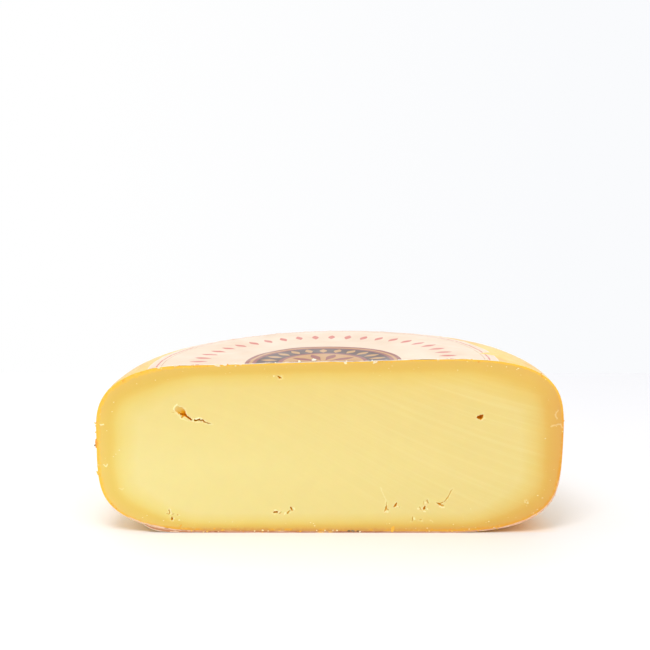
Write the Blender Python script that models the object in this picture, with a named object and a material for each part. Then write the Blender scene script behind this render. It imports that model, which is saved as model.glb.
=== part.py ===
"""Half wheel of gouda with its round paper label.

Metres, +Z up. The wheel was cut straight through its middle: the cut face looks along -Y and the
round side is at +Y. The origin is on the surface that the cheese stands on, at the middle of its box.
"""

import math

import bmesh
import bpy
from mathutils import Euler

# The wheel, as the cut face shows it
WHEEL_RADIUS = 0.172
TOP_HEIGHT = 0.1296  # at the wheel's middle
TOP_TILT = 0.025  # rise of the top for each metre towards +X
CROWN_DROP = 0.0008  # how far the top would fall away by the rim, before its shoulder
BELLY_HEIGHT = 0.0765  # height of the widest place

# The curve from the flat foot up to the belly. A power of 2 is an ellipse, and more is squarer.
FOOT_RADIUS = 0.080
FOOT_SPREAD_POWER = 2.4
FOOT_RISE_POWER = 4.6

# The curve from the flat top down to the belly, which is squarer on the +X side
SHOULDER_RADIUS_RIGHT = 0.086
SHOULDER_RADIUS_LEFT = 0.102
SHOULDER_POWER_RIGHT = 3.05
SHOULDER_POWER_LEFT = 2.5

# Unevenness of the rind round the rim: waves in a full turn, depth, phase
RIM_WAVES = ((3, 0.0009, 0.6), (5, 0.0006, 2.1), (8, 0.0004, 4.0))

# Facets
TURN_STEPS = 56
FOOT_STEPS = 14
SHOULDER_STEPS = 14
CROWN_STEPS = 5
FINE_STEPS = 400  # the curves are read this finely before they are split into equal lengths
PIT_ROUNDS = 2  # subdivisions of each pod that opens a pit
SMOOTH_ANGLE = math.radians(35)

# The paper label, a little off the wheel's middle and cut with it
LABEL_RADIUS = 0.1285
LABEL_SHIFT = -0.0051
LABEL_THICKNESS = 0.0004
LABEL_GAP = 0.0004
LABEL_SETBACK = 0.0006
LABEL_SPOKES = 44
LABEL_RINGS = 9

# The V in its rim, where the paper was folded over the shoulder and tore
NOTCH_TURN = math.radians(12)
NOTCH_HALF_WIDTH = math.radians(1.6)
NOTCH_LENGTH = 0.010

# Openings in the cut face: the middle's x and z, then width, height, depth, and tilt in degrees
OPENINGS = (
    (-0.1108, 0.0945, 0.0060, 0.0072, 0.0036, 20),
    (-0.1045, 0.0892, 0.0130, 0.0022, 0.0052, -34),
    (-0.0936, 0.0858, 0.0110, 0.0015, 0.0036, -17),
    (0.1105, 0.0879, 0.0062, 0.0042, 0.0056, 14),
    (-0.0372, 0.1176, 0.0034, 0.0022, 0.0022, -12),
    (-0.1186, 0.0164, 0.0022, 0.0030, 0.0014, 15),
    (-0.1170, 0.0110, 0.0022, 0.0028, 0.0018, 0),
    (-0.0409, 0.0164, 0.0028, 0.0022, 0.0018, 10),
    (-0.0298, 0.0186, 0.0036, 0.0018, 0.0016, 55),
    (0.0416, 0.0194, 0.0026, 0.0024, 0.0020, 0),
    (0.0482, 0.0224, 0.0028, 0.0018, 0.0022, 50),
    (0.0696, 0.0202, 0.0022, 0.0030, 0.0022, 0),
    (0.0814, 0.0228, 0.0050, 0.0016, 0.0020, -10),
    (0.0608, 0.0103, 0.0012, 0.0034, 0.0014, 0),
)

CUT_Y = -WHEEL_RADIUS / 2  # the cut plane, which holds the wheel's axis


def clear_scene():
    for obj in list(bpy.data.objects):
        bpy.data.objects.remove(obj)


def material(name, colour, roughness):
    made = bpy.data.materials.new(name)
    made.use_nodes = True
    shader = made.node_tree.nodes["Principled BSDF"]
    shader.inputs["Base Color"].default_value = (*colour, 1)
    shader.inputs["Roughness"].default_value = roughness
    shader.inputs["Metallic"].default_value = 0
    return made


def across_wheel(turn, right, left):
    """A value that changes smoothly from the +X side of the wheel to its -X side."""
    share = (1 - math.cos(turn)) / 2
    return right * (1 - share) + left * share


def shoulder_radius(turn):
    return across_wheel(turn, SHOULDER_RADIUS_RIGHT, SHOULDER_RADIUS_LEFT)


def shoulder_power(turn):
    return across_wheel(turn, SHOULDER_POWER_RIGHT, SHOULDER_POWER_LEFT)


def widest(turn):
    """The wheel's radius in this direction. The waves die out at the cut and at the back."""
    wave = sum(depth * math.sin(waves * turn + phase) for waves, depth, phase in RIM_WAVES)
    return WHEEL_RADIUS + wave * math.sin(2 * turn) ** 2


def crown_height(radius, turn):
    """Height of the nearly flat top, before the shoulder."""
    drop = CROWN_DROP * (radius / WHEEL_RADIUS) ** 2
    return TOP_HEIGHT + TOP_TILT * radius * math.cos(turn) - drop


def top_height(x, y):
    """Height of the upper surface over a point on the ground."""
    radius = math.hypot(x, y - CUT_Y)
    turn = math.atan2(max(y - CUT_Y, 0), x)
    edge = shoulder_radius(turn)
    if radius <= edge:
        return crown_height(radius, turn)
    across = (radius - edge) / (widest(turn) - edge)
    power = shoulder_power(turn)
    rise = crown_height(edge, turn) - BELLY_HEIGHT
    return BELLY_HEIGHT + rise * max(1 - across**power, 0) ** (1 / power)


def quarter(start, end, spread_power, rise_power):
    """A squarish quarter turn from a flat at the start to a wall at the end, as radius and height."""

    def curve(share):
        angle = share * math.pi / 2
        across = math.sin(angle) ** (2 / spread_power)
        along = math.cos(angle) ** (2 / rise_power)
        return start[0] + (end[0] - start[0]) * across, end[1] + (start[1] - end[1]) * along

    return curve


def even_steps(curve, steps):
    """Points at equal lengths along a curve, which maps 0..1 to a radius and a height."""
    fine = [curve(i / FINE_STEPS) for i in range(FINE_STEPS + 1)]
    lengths = [0.0]
    for a, b in zip(fine, fine[1:]):
        lengths.append(lengths[-1] + math.dist(a, b))
    points = []
    for step in range(steps + 1):
        wanted = lengths[-1] * step / steps
        after = next((i for i, run in enumerate(lengths) if run >= wanted), FINE_STEPS)
        points.append(fine[after])
    return points


def section(turn):
    """The rind's points in one direction, from the foot's edge over the belly to near the top's middle."""
    belly = (widest(turn), BELLY_HEIGHT)
    foot = quarter((FOOT_RADIUS, 0), belly, FOOT_SPREAD_POWER, FOOT_RISE_POWER)
    edge = shoulder_radius(turn)
    power = shoulder_power(turn)
    shoulder = quarter((edge, crown_height(edge, turn)), belly, power, power)
    crown = []
    for step in range(CROWN_STEPS - 1, 0, -1):
        radius = edge * step / CROWN_STEPS
        crown.append((radius, crown_height(radius, turn)))
    return even_steps(foot, FOOT_STEPS) + even_steps(shoulder, SHOULDER_STEPS)[-2::-1] + crown


def build_wheel(cheese):
    """The rind as rings of quads, closed by the flat foot and the cut face."""
    mesh = bmesh.new()
    columns = []
    for step in range(TURN_STEPS + 1):
        turn = math.pi * step / TURN_STEPS
        column = []
        for radius, height in section(turn):
            place = (radius * math.cos(turn), CUT_Y + radius * math.sin(turn), height)
            column.append(mesh.verts.new(place))
        columns.append(column)
    middle = mesh.verts.new((0, CUT_Y, TOP_HEIGHT))
    for here, there in zip(columns, columns[1:]):
        for i in range(len(here) - 1):
            mesh.faces.new((here[i], there[i], there[i + 1], here[i + 1]))
        mesh.faces.new((here[-1], there[-1], middle))
    mesh.faces.new([column[0] for column in reversed(columns)])
    mesh.faces.new(columns[0] + [middle] + columns[-1][::-1])
    bmesh.ops.recalc_face_normals(mesh, faces=mesh.faces)

    data = bpy.data.meshes.new("half_wheel")
    mesh.to_mesh(data)
    mesh.free()
    data.materials.append(cheese)
    data.shade_smooth()
    data.set_sharp_from_angle(angle=SMOOTH_ANGLE)
    wheel = bpy.data.objects.new("half_wheel", data)
    bpy.context.scene.collection.objects.link(wheel)
    return wheel


def open_pits(wheel):
    """Eyes and slits in the cut face, each cut by a pod that lies across the cut plane."""
    pits = bpy.data.collections.new("pits")
    bpy.context.scene.collection.children.link(pits)
    for number, (x, height, width, tall, depth, tilt) in enumerate(OPENINGS):
        pod = bmesh.new()
        bmesh.ops.create_icosphere(pod, subdivisions=PIT_ROUNDS, radius=1)
        bmesh.ops.scale(pod, vec=(width / 2, depth, tall / 2), verts=pod.verts)
        data = bpy.data.meshes.new(f"pit_{number}")
        pod.to_mesh(data)
        pod.free()
        cutter = bpy.data.objects.new(f"pit_{number}", data)
        cutter.location = (x, CUT_Y, height)
        cutter.rotation_euler = Euler((0, math.radians(-tilt), 0))
        cutter.hide_render = True
        cutter.display_type = "WIRE"
        pits.objects.link(cutter)
    cut = wheel.modifiers.new("pits", "BOOLEAN")
    cut.operand_type = "COLLECTION"
    cut.collection = pits
    cut.operation = "DIFFERENCE"
    cut.solver = "EXACT"


def label_turns():
    """Directions of the label's spokes: even ones, and three for the V."""
    even = [math.pi * step / LABEL_SPOKES for step in range(LABEL_SPOKES + 1)]
    clear = [turn for turn in even if abs(turn - NOTCH_TURN) > NOTCH_HALF_WIDTH]
    notch = [NOTCH_TURN - NOTCH_HALF_WIDTH, NOTCH_TURN, NOTCH_TURN + NOTCH_HALF_WIDTH]
    return sorted(clear + notch)


def label_layer(mesh, lift):
    """One face of the sheet: points on each spoke from near the hub to the rim, and the hub."""
    front = CUT_Y + LABEL_SETBACK
    spokes = []
    for turn in label_turns():
        rim = LABEL_RADIUS - (NOTCH_LENGTH if turn == NOTCH_TURN else 0)
        spoke = []
        for ring in range(1, LABEL_RINGS + 1):
            reach = rim * math.sqrt(ring / LABEL_RINGS)
            x = LABEL_SHIFT + reach * math.cos(turn)
            y = max(CUT_Y + reach * math.sin(turn), front)
            spoke.append(mesh.verts.new((x, y, top_height(x, y) + lift)))
        spokes.append(spoke)
    hub = mesh.verts.new((LABEL_SHIFT, front, top_height(LABEL_SHIFT, front) + lift))
    return spokes, hub


def build_label(paper):
    """A thin sheet that follows the top and the shoulder. Both of its faces are split alike."""
    mesh = bmesh.new()
    below, below_hub = label_layer(mesh, LABEL_GAP)
    above, above_hub = label_layer(mesh, LABEL_GAP + LABEL_THICKNESS)
    for spokes, hub in ((below, below_hub), (above, above_hub)):
        for here, there in zip(spokes, spokes[1:]):
            mesh.faces.new((hub, here[0], there[0]))
            for ring in range(LABEL_RINGS - 1):
                mesh.faces.new((here[ring], here[ring + 1], there[ring]))
                mesh.faces.new((here[ring + 1], there[ring + 1], there[ring]))

    low_rim = [spoke[-1] for spoke in below]
    high_rim = [spoke[-1] for spoke in above]
    low_edge = low_rim + below[-1][-2::-1] + [below_hub] + below[0]
    high_edge = high_rim + above[-1][-2::-1] + [above_hub] + above[0]
    for i in range(len(low_edge) - 1):
        mesh.faces.new((low_edge[i], low_edge[i + 1], high_edge[i + 1], high_edge[i]))
    bmesh.ops.recalc_face_normals(mesh, faces=mesh.faces)

    data = bpy.data.meshes.new("label")
    mesh.to_mesh(data)
    mesh.free()
    data.materials.append(paper)
    label = bpy.data.objects.new("label", data)
    bpy.context.scene.collection.objects.link(label)
    return label


def main():
    clear_scene()
    wheel = build_wheel(material("cheese", (0.86, 0.66, 0.22), 0.45))
    open_pits(wheel)
    build_label(material("paper", (0.88, 0.80, 0.68), 0.40))


main()
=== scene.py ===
"""The looks of a half wheel of gouda: its skin, cut face, paper label and crumbs, on a white table."""

import math
import random

import bmesh
import bpy
import numpy as np
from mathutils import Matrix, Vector, geometry, noise
from mathutils.bvhtree import BVHTree


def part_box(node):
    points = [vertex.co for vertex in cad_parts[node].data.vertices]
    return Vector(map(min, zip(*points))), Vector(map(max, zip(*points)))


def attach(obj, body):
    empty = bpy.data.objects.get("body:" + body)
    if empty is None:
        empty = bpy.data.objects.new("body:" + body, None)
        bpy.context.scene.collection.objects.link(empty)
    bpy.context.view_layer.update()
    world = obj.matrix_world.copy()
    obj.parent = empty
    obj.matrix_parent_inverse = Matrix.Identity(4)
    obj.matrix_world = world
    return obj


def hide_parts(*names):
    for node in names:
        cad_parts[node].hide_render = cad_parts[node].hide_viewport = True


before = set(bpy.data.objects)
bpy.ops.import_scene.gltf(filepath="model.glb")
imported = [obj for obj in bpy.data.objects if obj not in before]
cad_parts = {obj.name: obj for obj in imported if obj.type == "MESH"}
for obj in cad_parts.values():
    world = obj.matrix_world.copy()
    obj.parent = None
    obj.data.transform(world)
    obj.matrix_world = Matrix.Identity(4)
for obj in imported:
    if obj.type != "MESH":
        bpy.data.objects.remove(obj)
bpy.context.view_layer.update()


# The form of the half wheel. A gouda is pressed in a round mould, so its flat faces run over soft
# shoulders into a bulging side. The mould's lid sat a little askew, which left one side higher, and
# turning on the shelf rounded the foot.

wheel_low, wheel_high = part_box("half_wheel")
WHEEL_RADIUS = (wheel_high.x - wheel_low.x) / 2
CUT_Y = wheel_low.y
FACE_INSET = 0.0003  # the cut face keeps this much room in front of it for lips and crumbs
FACE_Y = CUT_Y + FACE_INSET
TOP_HEIGHT = 0.1296
TOP_TILT = 0.025
CROWN_DROP = 0.0008
BELLY_HEIGHT = 0.0765
FOOT_RADIUS = 0.080
FOOT_SPREAD_POWER = 2.4
FOOT_RISE_POWER = 4.6
SHOULDER_RADII = (0.086, 0.102)  # on the right and on the left
SHOULDER_POWERS = (3.05, 2.5)
RIM_WAVES = ((3, 0.0009, 0.6), (5, 0.0006, 2.1), (8, 0.0004, 4.0))
CURVE_SAMPLES = 900


def across_wheel(turn, right, left):
    """A value that changes smoothly from the right of the wheel to its left."""
    share = (1 - np.cos(turn)) / 2
    return right * (1 - share) + left * share


def widest(turn):
    wave = sum(depth * np.sin(waves * turn + phase) for waves, depth, phase in RIM_WAVES)
    return WHEEL_RADIUS + wave * np.sin(2 * turn) ** 2


def crown_height(radius, turn):
    drop = CROWN_DROP * (radius / WHEEL_RADIUS) ** 2
    return TOP_HEIGHT + TOP_TILT * radius * np.cos(turn) - drop


def soft_quarter(start, end, spread_power, rise_power, steps):
    """A squarish quarter turn between a flat and a wall, as points at equal lengths along it."""
    angle = np.linspace(0, math.pi / 2, CURVE_SAMPLES)
    radius = start[0] + (end[0] - start[0]) * np.sin(angle) ** (2 / spread_power)
    height = end[1] + (start[1] - end[1]) * np.cos(angle) ** (2 / rise_power)
    run = np.concatenate([[0], np.cumsum(np.hypot(np.diff(radius), np.diff(height)))])
    wanted = np.linspace(0, run[-1], steps + 1)
    return np.interp(wanted, run, radius), np.interp(wanted, run, height)


UNDERSIDE_ROWS = 26
FOOT_ROWS = 66
SHOULDER_ROWS = 60
CROWN_ROWS = 30


def skin_section(turn):
    """The skin in one direction, from the middle of the foot round to the middle of the top."""
    belly = (widest(turn), BELLY_HEIGHT)
    edge = across_wheel(turn, *SHOULDER_RADII)
    power = across_wheel(turn, *SHOULDER_POWERS)
    top_edge = (edge, crown_height(edge, turn))
    foot = soft_quarter((FOOT_RADIUS, 0), belly, FOOT_SPREAD_POWER, FOOT_RISE_POWER, FOOT_ROWS)
    shoulder = soft_quarter(top_edge, belly, power, power, SHOULDER_ROWS)
    under = np.linspace(0, FOOT_RADIUS, UNDERSIDE_ROWS, endpoint=False)
    crown = np.linspace(edge, 0, CROWN_ROWS)[1:]
    radius = np.concatenate([under, foot[0], shoulder[0][-2::-1], crown])
    height = np.concatenate([under * 0, foot[1], shoulder[1][-2::-1], crown_height(crown, turn)])
    return radius, height


# The skin. The coating is a thin film of yellow plastic, brushed on in several coats over the rind.
# It takes every dent that the shelf, the hands and the neighbouring wheels leave in the soft cheese.

SKIN_COLUMNS = 208
EDGE_TURNS = (0.0012, 0.0040, 0.0085)  # extra columns beside the cut, so that its edge stays crisp
LUMPS = ((0.062, 0.0005, 3.1), (0.024, 0.00022, 7.7))  # size, depth and start in the noise
SWELLINGS = (  # x, depth behind the cut, z, reach and height of broad bulges
    (0.168, 0.000, 0.114, 0.020, 0.0008),
    (0.166, 0.000, 0.042, 0.024, -0.0014),
    (-0.169, 0.000, 0.101, 0.018, 0.0008),
    (0.105, 0.100, 0.125, 0.055, 0.0013),
)
DENT_COUNT = 46
DENT_LENGTH = (0.003, 0.012)
DENT_DEPTH = (0.00025, 0.0008)
SETTLED = 0.004


def unevenness(points):
    """How far soft lumps move the surface in or out, in metres."""
    pull = np.zeros(len(points))
    for size, depth, start in LUMPS:
        shift = Vector((start, 2 * start, -start))
        lumps = [noise.noise(Vector(point) / size + shift) for point in points]
        pull += depth * np.clip(lumps, -1, 1)
    return pull


even_turns = np.linspace(0, math.pi, SKIN_COLUMNS)
beside_cut = np.array(EDGE_TURNS)
turns = np.sort(np.concatenate([even_turns, beside_cut, math.pi - beside_cut]))
skin = np.array([
    np.stack([radius * math.cos(turn), CUT_Y + radius * math.sin(turn), height], axis=1)
    for turn in turns
    for radius, height in [skin_section(turn)]
])
skin_columns, skin_rows = skin.shape[:2]

down_skin = np.gradient(skin, axis=1)
round_skin = np.gradient(skin, axis=0)
outward = np.cross(round_skin, down_skin)
outward[:, 0] = (0, 0, -1)
outward[:, -1] = (0, 0, 1)
outward[[0, -1], :, 1] = 0
outward /= np.maximum(np.linalg.norm(outward, axis=2, keepdims=True), 1e-12)

flat_skin = skin.reshape(-1, 3)
pull = unevenness(flat_skin)
for x, behind, z, reach, height in SWELLINGS:
    off = flat_skin - (x, CUT_Y + behind, z)
    pull -= height * np.exp(-(off**2).sum(axis=1) / reach**2)
dented = np.zeros(len(flat_skin))
dent_draws = random.Random(11)
for _ in range(DENT_COUNT):
    column = dent_draws.randrange(6, skin_columns - 6)
    row = dent_draws.randrange(UNDERSIDE_ROWS + 8, UNDERSIDE_ROWS + FOOT_ROWS + SHOULDER_ROWS - 14)
    middle = skin[column, row]
    along = down_skin[column, row] / np.linalg.norm(down_skin[column, row])
    side = np.cross(outward[column, row], along)
    lean = dent_draws.uniform(0, math.pi)
    length = dent_draws.uniform(*DENT_LENGTH)
    breadth = length * dent_draws.uniform(0.3, 0.7)
    grain = math.cos(lean) * along + math.sin(lean) * side
    off = flat_skin - middle
    lengthwise = off @ grain
    rest = np.sqrt(np.maximum((off**2).sum(axis=1) - lengthwise**2, 0))
    hollow = np.exp(-((lengthwise / length) ** 2 + (rest / breadth) ** 2) * 2)
    pull += dent_draws.uniform(*DENT_DEPTH) * hollow
    dented = np.maximum(dented, hollow)

# the flat underside stays flat, and the foot's edge comes down on to it
pull *= np.clip(flat_skin[:, 2] / SETTLED, 0, 1)
skin = (flat_skin - outward.reshape(-1, 3) * pull[:, None]).reshape(skin.shape)
whole_depth = wheel_high.y - CUT_Y
skin[..., 1] = FACE_Y + (skin[..., 1] - CUT_Y) * (whole_depth - FACE_INSET) / whole_depth
skin[[0, -1], :, 1] = FACE_Y


def skin_index(column, row):
    """The number of a skin point; the middles of the foot and of the top are one point each."""
    if row == 0:
        return 0
    if row == skin_rows - 1:
        return 1
    return 2 + column * (skin_rows - 2) + row - 1


skin_points = np.concatenate([skin[:1, 0], skin[:1, -1], skin[:, 1:-1].reshape(-1, 3)])
skin_dents = np.concatenate([[0, 0], dented.reshape(skin.shape[:2])[:, 1:-1].reshape(-1)])
skin_faces = []
for column in range(skin_columns - 1):
    for row in range(skin_rows - 1):
        corners = [
            skin_index(column, row),
            skin_index(column + 1, row),
            skin_index(column + 1, row + 1),
            skin_index(column, row + 1),
        ]
        skin_faces.append(list(dict.fromkeys(corners)))


# The cut face. The wire drags through firm, slightly elastic paste and leaves a dull, nearly flat
# face with faint curved lines. Gas and rough handling of the curd left an eye, slits and pinholes,
# and the wire turned up curls of paste beside them, pale partly from a painted highlight.

GRID_STEP = 0.00135
EDGE_RINGS = (0.0004, 0.0009, 0.0015, 0.0023, 0.0034, 0.0048, 0.0064)
FACE_WAVE = 0.00012
WIRE_LINES = ((210, 0.000016), (460, 0.000006))  # lines per metre and their depth
LIP_HEIGHT = 0.00010
LIP_WIDTH = 0.0006
CURL_HEIGHT = 0.00012
DEEP = 0.0040  # an opening of this depth is as dark as they get
ROUGHENED = 0.0005  # how far the outlines of openings and curls wander
SETTLE_IN = 0.0030  # the face's waves and lips die away over this much beside the edge
CURL_HALF = 0.00015
CURL_FADE = 0.00032
FINE_STEPS = (0.00020, 0.00034)  # the finer grid round the openings and curls
FINE_REACH = 0.0008
FINE_ROOM = 0.0012
FINE_FROM_EDGE = 0.0006
FINE_APART = 0.00016
WAVE_LENGTH = 0.045
WIRE_SLOPE = 0.76
WIRE_FAN = 2.8
LEFT_BEND = 2.5
RIGHT_BEND = 1.5
RIGHT_BEND_START = 0.05

# Each opening is a stroke: x, z, half width and depth at each of its stations
OPENINGS = {
    "slit": (
        (-0.1121, 0.0954, 0.0014, 0.0004),
        (-0.1102, 0.0938, 0.0024, 0.0007),
        (-0.1081, 0.0919, 0.0021, 0.0012),
        (-0.1066, 0.0898, 0.0012, 0.0032),
        (-0.1046, 0.0880, 0.0007, 0.0032),
        (-0.1018, 0.0859, 0.0005, 0.0024),
    ),
    "slit_mouth": ((-0.1132, 0.0946, 0.0011, 0.0003), (-0.1108, 0.0914, 0.0012, 0.0012)),
    "slit_floor": ((-0.1097, 0.0904, 0.0008, 0.0026), (-0.1064, 0.0893, 0.0008, 0.0034)),
    "slit_tail": ((-0.1075, 0.0894, 0.0008, 0.0022), (-0.1090, 0.0879, 0.0006, 0.0007)),
    "slit_scratch": ((-0.1146, 0.0920, 0.0003, 0.0004), (-0.1168, 0.0914, 0.0002, 0.0002)),
    "crack": (
        (-0.0994, 0.0857, 0.0008, 0.0026),
        (-0.0976, 0.0857, 0.0007, 0.0026),
        (-0.0961, 0.0864, 0.0008, 0.0026),
        (-0.0950, 0.0855, 0.0004, 0.0020),
        (-0.0938, 0.0859, 0.0006, 0.0024),
        (-0.0921, 0.0846, 0.0004, 0.0018),
        (-0.0898, 0.0836, 0.0003, 0.0016),
        (-0.0876, 0.0829, 0.0002, 0.0006),
    ),
    "eye": (
        (0.1079, 0.0878, 0.0006, 0.0018),
        (0.1092, 0.0881, 0.0013, 0.0034),
        (0.1105, 0.0883, 0.0017, 0.0038),
        (0.1114, 0.0888, 0.0013, 0.0034),
        (0.1119, 0.0896, 0.0007, 0.0018),
    ),
    "eye_nub": ((0.1108, 0.0876, 0.0008, 0.0034), (0.1106, 0.0866, 0.0005, 0.0016)),
    "pinhole": (
        (-0.0381, 0.1191, 0.0004, 0.0008),
        (-0.0372, 0.1177, 0.0008, 0.0018),
        (-0.0358, 0.1176, 0.0005, 0.0012),
    ),
    "left_stroke": ((-0.1194, 0.0173, 0.0006, 0.0009), (-0.1192, 0.0148, 0.0004, 0.0007)),
    "left_arm": ((-0.1195, 0.0147, 0.0004, 0.0007), (-0.1213, 0.0145, 0.0003, 0.0005)),
    "left_dot": ((-0.1166, 0.0140, 0.0005, 0.0007), (-0.1161, 0.0142, 0.0004, 0.0007)),
    "left_far_dot": ((-0.1133, 0.0139, 0.0004, 0.0006), (-0.1130, 0.0137, 0.0004, 0.0006)),
    "left_foot": ((-0.1178, 0.0117, 0.0005, 0.0012), (-0.1173, 0.0100, 0.0008, 0.0016)),
    "middle_blob": ((-0.0414, 0.0155, 0.0006, 0.0016), (-0.0396, 0.0159, 0.0008, 0.0020)),
    "middle_mark": ((-0.0374, 0.0147, 0.0004, 0.0006), (-0.0360, 0.0161, 0.0003, 0.0005)),
    "middle_leg": ((-0.0317, 0.0149, 0.0006, 0.0011), (-0.0299, 0.0167, 0.0005, 0.0010)),
    "middle_top": ((-0.0294, 0.0192, 0.0006, 0.0016), (-0.0279, 0.0173, 0.0006, 0.0013)),
    "root": (
        (0.0422, 0.0240, 0.0002, 0.0004),
        (0.0419, 0.0212, 0.0003, 0.0006),
        (0.0417, 0.0184, 0.0008, 0.0012),
        (0.0406, 0.0168, 0.0004, 0.0008),
    ),
    "root_foot": ((0.0417, 0.0181, 0.0006, 0.0009), (0.0436, 0.0175, 0.0004, 0.0006)),
    "leaf": (
        (0.0494, 0.0226, 0.0004, 0.0014),
        (0.0487, 0.0212, 0.0008, 0.0018),
        (0.0474, 0.0199, 0.0005, 0.0011),
    ),
    "leaf_dot": ((0.0514, 0.0200, 0.0004, 0.0006), (0.0519, 0.0201, 0.0003, 0.0005)),
    "low_stroke": ((0.0614, 0.0120, 0.0003, 0.0008), (0.0608, 0.0091, 0.0004, 0.0010)),
    "low_dot": ((0.0670, 0.0099, 0.0004, 0.0006), (0.0679, 0.0100, 0.0003, 0.0005)),
    "bud": ((0.0702, 0.0201, 0.0005, 0.0012), (0.0698, 0.0184, 0.0008, 0.0020)),
    "bud_above": ((0.0719, 0.0247, 0.0005, 0.0008), (0.0726, 0.0228, 0.0004, 0.0007)),
    "bud_behind": ((0.0696, 0.0239, 0.0003, 0.0005), (0.0690, 0.0218, 0.0003, 0.0005)),
    "bud_beside": ((0.0664, 0.0201, 0.0004, 0.0006), (0.0676, 0.0175, 0.0003, 0.0006)),
    "tail": (
        (0.0792, 0.0232, 0.0004, 0.0008),
        (0.0807, 0.0223, 0.0008, 0.0015),
        (0.0842, 0.0206, 0.0005, 0.0007),
    ),
    "tail_arm": ((0.0807, 0.0223, 0.0006, 0.0011), (0.0836, 0.0234, 0.0004, 0.0006)),
    "tail_line": (
        (0.0848, 0.0243, 0.0004, 0.0007),
        (0.0863, 0.0256, 0.0005, 0.0007),
        (0.0885, 0.0298, 0.0004, 0.0006),
        (0.0905, 0.0338, 0.0002, 0.0003),
    ),
}

# Curls of paste that the wire turned up, and cuts with a pale edge, partly a painted highlight: x and z along
# each
CURLS = (
    ((-0.1124, 0.0978), (-0.1138, 0.0966), (-0.1148, 0.0940)),
    ((-0.1100, 0.0872), (-0.1078, 0.0868)),
    ((-0.1012, 0.0850), (-0.1002, 0.0862), (-0.1003, 0.0872)),
    ((-0.0985, 0.0871), (-0.0962, 0.0876), (-0.0940, 0.0872)),
    ((-0.1182, 0.0178), (-0.1181, 0.0142)),
    ((-0.1160, 0.0110), (-0.1166, 0.0094)),
    ((-0.1123, 0.0136), (-0.1120, 0.0134)),
    ((-0.1122, 0.0097), (-0.1118, 0.0096)),
    ((-0.0412, 0.0173), (-0.0399, 0.0175)),
    ((-0.0380, 0.0156), (-0.0377, 0.0163)),
    ((-0.0271, 0.0192), (-0.0265, 0.0180)),
    ((-0.0336, 0.0145), (-0.0329, 0.0155)),
    ((0.0410, 0.0160), (0.0428, 0.0160)),
    ((0.0495, 0.0207), (0.0503, 0.0202)),
    ((0.0704, 0.0236), (0.0709, 0.0230)),
    ((0.0678, 0.0190), (0.0682, 0.0180)),
    ((0.0716, 0.0186), (0.0720, 0.0180)),
    ((0.0697, 0.0165), (0.0708, 0.0163)),
    ((0.0650, 0.0188), (0.0655, 0.0184)),
    ((0.0813, 0.0202), (0.0846, 0.0193)),
    ((0.0625, 0.0114), (0.0626, 0.0102)),
    ((-0.1684, 0.0822), (-0.1668, 0.0829)),
    ((-0.1672, 0.0519), (-0.1650, 0.0505), (-0.1645, 0.0524)),
    ((-0.0413, 0.1193), (-0.0408, 0.1190)),
)
FAINT_CURLS = (
    ((0.0374, 0.0347), (0.0394, 0.0300), (0.0413, 0.0256), (0.0412, 0.0225)),
    ((0.1672, 0.0934), (0.1652, 0.0902), (0.1667, 0.0872)),
    ((0.1624, 0.0815), (0.1660, 0.0826), (0.1694, 0.0830), (0.1708, 0.0803)),
    ((0.1442, 0.0250), (0.1448, 0.0236), (0.1466, 0.0229), (0.1465, 0.0246)),
    ((-0.1560, 0.0340), (-0.1538, 0.0330), (-0.1530, 0.0342)),
    ((-0.1136, 0.0912), (-0.1098, 0.0878), (-0.1048, 0.0853)),
    ((-0.0990, 0.0842), (-0.0960, 0.0845)),
    ((0.0676, 0.0090), (0.0690, 0.0093)),
    ((0.0744, 0.0096), (0.0763, 0.0083)),
)
FAINT = 0.40

# What shows round the edge of the cut: the film, frayed and loose at the foot on the left, and the
# bright line of dried paste in it. Each row is the run along the edge from the middle of the foot,
# right positive, the width of the film and the width of the line.
EDGE_BANDS = (
    (-0.430, 0.0002, 0.0004),
    (-0.340, 0.0002, 0.0008),
    (-0.320, 0.0003, 0.0013),
    (-0.285, 0.0003, 0.0020),
    (-0.180, 0.0003, 0.0017),
    (-0.158, 0.0004, 0.0012),
    (-0.145, 0.0005, 0.0012),
    (-0.133, 0.0006, 0.0012),
    (-0.122, 0.0008, 0.0013),
    (-0.104, 0.0012, 0.0014),
    (-0.080, 0.0016, 0.0015),
    (0.000, 0.0014, 0.0014),
    (0.120, 0.0009, 0.0016),
    (0.165, 0.0010, 0.0014),
    (0.190, 0.0007, 0.0013),
    (0.210, 0.0003, 0.0010),
    (0.290, 0.0003, 0.0010),
    (0.325, 0.0002, 0.0009),
    (0.360, 0.0002, 0.0005),
    (0.430, 0.0002, 0.0004),
)
FILM_LIP = 0.00012


def stroke_reach(x, z, stations):
    """How deep a stroke is at each point, and how far the point lies outside it."""
    deepest = np.zeros(len(x))
    nearest = np.full(len(x), 1.0)
    for (x0, z0, w0, d0), (x1, z1, w1, d1) in zip(stations, stations[1:]):
        run_x, run_z = x1 - x0, z1 - z0
        share = np.clip(((x - x0) * run_x + (z - z0) * run_z) / (run_x**2 + run_z**2), 0, 1)
        distance = np.hypot(x - x0 - share * run_x, z - z0 - share * run_z)
        half = w0 + (w1 - w0) * share
        deep = d0 + (d1 - d0) * share
        inside = np.clip(1 - (distance / half) ** 3, 0, 1) ** 0.6
        deepest = np.maximum(deepest, deep * inside)
        nearest = np.minimum(nearest, distance - half)
    return deepest, nearest


noise.seed_set(5)  # otherwise noise_vector starts at another place in each run


def wandered(x, z, amount, size=0.0013):
    """Moves points about a little, so that a stroke drawn through them gets an uneven edge."""
    shift = [noise.noise_vector(Vector((a, b, 0)) / size) for a, b in zip(x, z)]
    shift = np.array(shift).reshape(-1, 3) * amount
    return x + shift[:, 0], z + shift[:, 1]


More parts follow.
